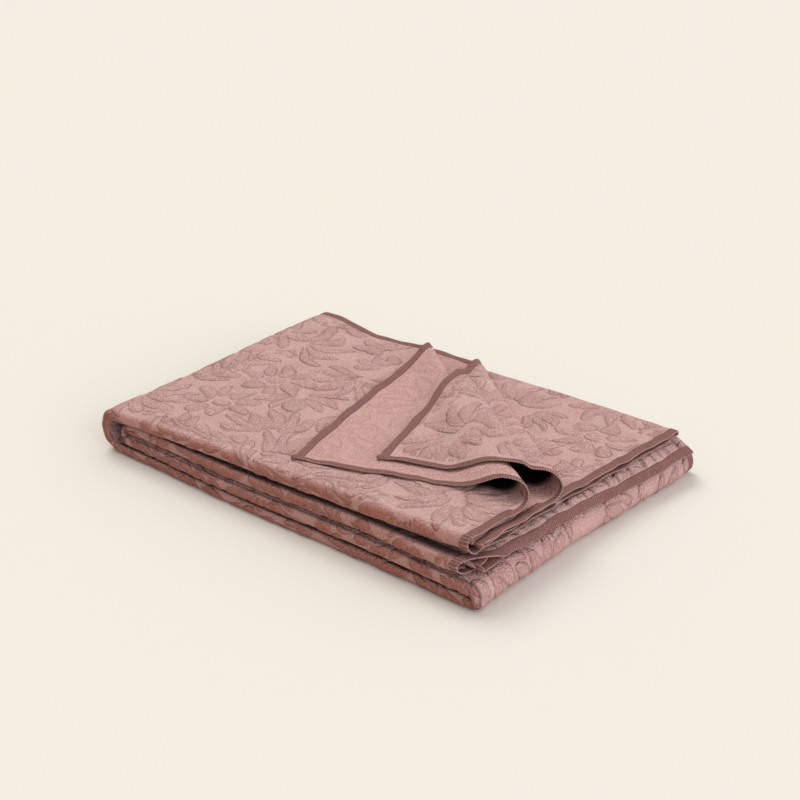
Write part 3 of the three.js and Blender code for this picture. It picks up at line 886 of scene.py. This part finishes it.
throw_mesh = bpy.data.meshes.new("folded_cloth")
cloth.to_mesh(throw_mesh)
cloth.free()
corner_verts = np.zeros(len(throw_mesh.loops), dtype=np.int32)
throw_mesh.loops.foreach_get("vertex_index", corner_verts)
# Painted shade goes to the materials as two attributes: near black in the hollows, grooves and
# gathers, and darker and redder on the fronts of the folds and on the end roll
throw_mesh.attributes.new("deep", "FLOAT", "POINT").data.foreach_set("value", deep)
end_roll_shade = 0.12
end_roll = np.where((across <= 1) & (along > 3) & (along < 4), end_roll_shade, 0)
fold_shade = np.maximum(round_front, end_roll)
throw_mesh.attributes.new("fold_shade", "FLOAT", "POINT").data.foreach_set("value", fold_shade)
flat_map = throw_mesh.uv_layers.new(name="flat")
flat_map.data.foreach_set("uv", np.stack([u, v], -1)[corner_verts].ravel())
throw_mesh.materials.append(cloth_pile.material)
throw_mesh.materials.append(cloth_back.material)
throw = bpy.data.objects.new("folded_cloth", throw_mesh)
bpy.context.scene.collection.objects.link(throw)
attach(throw, "root")
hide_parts("throw_cloth")
print("cloth triangles", sum(len(p.vertices) - 2 for p in throw_mesh.polygons))

# Edge stitching: a band of dense overlocked thread, 8 mm wide on both sides of the cloth, round
# all four edges, and closed by a knot at each corner. A lighter thread loops over the rim.
band_width = 8.0
band_half = 1.0
narrowing = 0.45
knot_radius = 0.0027
band_profile = [
    (band_width, 0.62), (7.5, 0.95), (4.5, band_half), (1.5, band_half), (0.2, 0.85), (-0.6, 0.5),
    (-0.9, 0.0), (-0.6, -0.5), (0.2, -0.85), (1.5, -band_half), (4.5, -band_half), (7.5, -0.95),
    (band_width, -0.62),
]
band_path = [0.0]
for (inset_a, off_a), (inset_b, off_b) in zip(band_profile, band_profile[1:] + band_profile[:1]):
    band_path.append(band_path[-1] + math.hypot(inset_b - inset_a, off_b - off_a) / 1000)
rim_path = (band_path[5] + band_path[7]) / 2

thread_dark = (0.165, 0.070, 0.060, 1)
thread_mid = (0.375, 0.192, 0.170, 1)
thread_light = (0.600, 0.410, 0.365, 1)
stitching = Finish("overlocked_thread", Roughness=0.8, Specular_IOR_Level=0.12)
flat, u, v = stitching.flat_millimetres()
wander = stitching.noise(flat, 160.0)
fuzz = stitching.noise(flat, 620.0, 1.0)
ribs = 0.5 + 0.5 * maths("SINE", (u + wander * 2.0) * (2 * math.pi / 2.3))
rim = clamped(1 - maths("ABSOLUTE", v - rim_path * 1000) * 0.7, 0, 1)
# Painted shadow: a dark line along both inner edges of the band, where it meets the cloth
seam_shadow = clamped(1 - maths("MINIMUM", v, band_path[12] * 1000 - v) * 0.9, 0, 1)
loops = rim * (0.35 + ribs * 0.65)
fabric = stitching.mix(clamped(ribs * 0.7 + fuzz * 1.4 - 0.55, 0, 1), thread_dark, thread_mid)
fabric = stitching.mix(loops, fabric, thread_light)
fabric = stitching.mix(seam_shadow * 0.45, fabric, thread_dark)
stitching.colour(fabric)
stitching.bump(ribs + loops * 0.4 + wander * 0.5 + fuzz * 0.5, 0.0008, 1.0)

band = bmesh.new()
flat_layer = band.loops.layers.uv.new("flat")
along_rows = stations(150, [44, 20, 24])
across_rows = stations(112, [16, 12, 12])
hems = [
    ("along", 0.0, across_rows),
    ("along", 7.0, across_rows),
    ("across", 0.0, along_rows),
    ("across", 7.0, along_rows),
]
leg_length = {"along": along_marks[1] * 1000, "across": across_marks[1] * 1000}
for runs, hem, rows in hems:
    inward = 1 if hem == 0 else -1
    narrow = 1 + 0 * rows
    if runs == "along" and hem == 0:
        on_corners = np.maximum(rows < corners[0].side, rows > 7 - corners[1].side)
        narrow = 1 - narrowing * on_corners
    points_of = []
    for inset, off in band_profile:
        inset = inset * narrow
        station = hem + inward * np.maximum(inset, 0) / leg_length[runs]
        along, across = (station, rows) if runs == "along" else (rows, station)
        spot = middle(along, across)
        if inset[0] < 0:
            inner = hem + inward * 1.0 / leg_length[runs] + 0 * rows
            inner = middle(inner, rows) if runs == "along" else middle(rows, inner)
            outward = (spot - inner) / np.linalg.norm(spot - inner, axis=-1, keepdims=True)
            spot = spot - outward * inset[:, None]
        points_of.append(spot + facing(along, across) * off)
    tube = in_frame(np.stack(points_of, 1))
    run = flat_place(rows, rows)[0 if runs == "across" else 1]
    made = bmesh.ops.create_grid(
        band, x_segments=len(rows) - 1, y_segments=len(band_profile), size=0.5
    )["verts"]
    cells = {}
    for vert in made:
        row = round((vert.co.x + 0.5) * (len(rows) - 1))
        column = round((vert.co.y + 0.5) * len(band_profile))
        cells[vert] = row, column
    for face in {face for vert in made for face in vert.link_faces}:
        face.smooth = True
        for loop in face.loops:
            row, column = cells[loop.vert]
            loop[flat_layer].uv = run[row], band_path[column]
    for vert, (row, column) in cells.items():
        vert.co = tube[row, column % len(band_profile)]
    bmesh.ops.remove_doubles(band, verts=made, dist=1e-7)
bmesh.ops.holes_fill(band, edges=[edge for edge in band.edges if edge.is_boundary])
for along, across in ((0, 0), (0, 7), (7, 0), (7, 7)):
    knot = Vector(in_frame(middle(np.array([along]), np.array([across])))[0])
    bmesh.ops.create_icosphere(
        band, subdivisions=2, radius=knot_radius, matrix=Matrix.Translation(knot)
    )
bmesh.ops.recalc_face_normals(band, faces=band.faces)
band_mesh = bpy.data.meshes.new("edge_band")
band.to_mesh(band_mesh)
band.free()
band_mesh.materials.append(stitching.material)
edge_band = bpy.data.objects.new("edge_band", band_mesh)
bpy.context.scene.collection.objects.link(edge_band)
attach(edge_band, "root")
print("band triangles", sum(len(p.vertices) - 2 for p in band_mesh.polygons))

# Floor: plain, pale and warm, under everything that the camera sees.
floor_bm = bmesh.new()
bmesh.ops.create_grid(floor_bm, x_segments=2, y_segments=2, size=8)
bmesh.ops.translate(floor_bm, verts=floor_bm.verts, vec=(0, 0, -0.0003))
floor_mesh = bpy.data.meshes.new("floor")
floor_bm.to_mesh(floor_mesh)
floor_bm.free()
floor_finish = Finish("pale_floor", Base_Color=(0.778, 0.754, 0.677, 1), Roughness=0.9)
floor_finish.shader.inputs["Specular IOR Level"].default_value = 0.1
floor_mesh.materials.append(floor_finish.material)
floor = bpy.data.objects.new("floor", floor_mesh)
bpy.context.scene.collection.objects.link(floor)

# Light: a pale room, cooler and brighter behind the throw and to its right, warm and dim in
# front, with one broad light from behind on the left and a faint cool one from the right.
world = bpy.data.worlds.new("pale_room")
bpy.context.scene.world = world
world.use_nodes = True
room = Nodes(world.node_tree)
towards = room.node("ShaderNodeTexCoord").outputs["Generated"]
split = room.node("ShaderNodeSeparateXYZ", (), {0: towards})
bright = room.level(split, 0) * 0.3 + room.level(split, 1) * 0.3 + room.level(split, 2) * 0.2
walls = room.mix(clamped(bright + 0.5, 0, 1), (0.400, 0.352, 0.315, 1), (0.740, 0.742, 0.745, 1))
room.feed(room.tree.nodes["Background"].inputs["Color"], walls)


def soft_light(name, strength, spread, azimuth, elevation, colour):
    light = bpy.data.lights.new(name, "SUN")
    light.energy = strength
    light.angle = math.radians(spread)
    light.color = colour
    lamp = bpy.data.objects.new(name, light)
    a, e = math.radians(azimuth), math.radians(elevation)
    towards = Vector((math.cos(a) * math.cos(e), math.sin(a) * math.cos(e), math.sin(e)))
    lamp.rotation_euler = towards.to_track_quat("Z", "Y").to_euler()
    bpy.context.scene.collection.objects.link(lamp)


soft_light("window_light", 1.5, 36, 160, 58, (1.0, 0.97, 0.94))
soft_light("cool_fill", 1.85, 60, -5, 16, (0.90, 0.84, 1.0))

# Camera: 81 mm on a 36 mm sensor, 26 degrees above the horizon, over the near corner.
yaw, pitch = math.radians(40.0), math.radians(26.3)
scale = 450 / 425
ahead = Vector((
    -math.sin(yaw) * math.cos(pitch), math.cos(yaw) * math.cos(pitch), -math.sin(pitch),
))
distance = 1.71
target = Vector((0.1414 * scale, 0.2469 * scale, 0)) - Vector(stack_centre / 1000)
lens = bpy.data.cameras.new("camera")
lens.lens = 81.0
lens.sensor_width = 36.0
camera = bpy.data.objects.new("camera", lens)
camera.location = target - ahead * (distance * scale)
camera.rotation_euler = ahead.to_track_quat("-Z", "Y").to_euler()
bpy.context.scene.collection.objects.link(camera)
bpy.context.scene.camera = camera
bpy.context.scene.view_settings.view_transform = "Standard"
